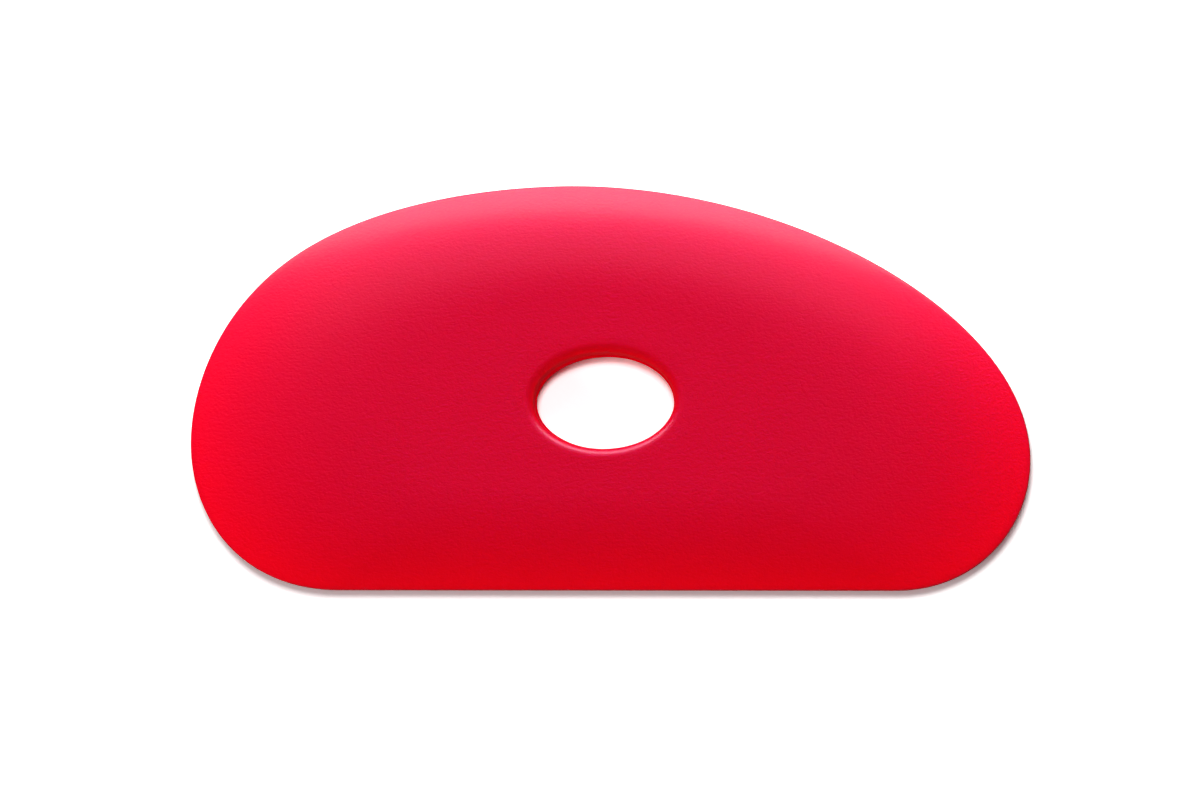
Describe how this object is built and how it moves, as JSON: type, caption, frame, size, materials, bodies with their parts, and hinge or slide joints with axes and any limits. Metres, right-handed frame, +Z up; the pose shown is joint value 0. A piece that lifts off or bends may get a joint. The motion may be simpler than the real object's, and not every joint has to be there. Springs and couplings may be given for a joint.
{
  "type": "pottery rib",
  "caption": "Kidney-shaped flexible pottery rib: a lens-section scraper with a straight base, a curved back and an oval finger hole.",
  "frame": {"origin": "on the underside, below the centre of the outline's box", "axes": "+X along the straight base towards the nose, +Y from the base to the crown, +Z up through the thickness"},
  "size_m": [0.105, 0.0508, 0.0063],
  "materials": {
    "elastomer": "satin moulded red elastomer, slightly translucent at its thin edges"
  },
  "bodies": {
    "root": {"rib": "elastomer"}
  },
  "joints": []
}
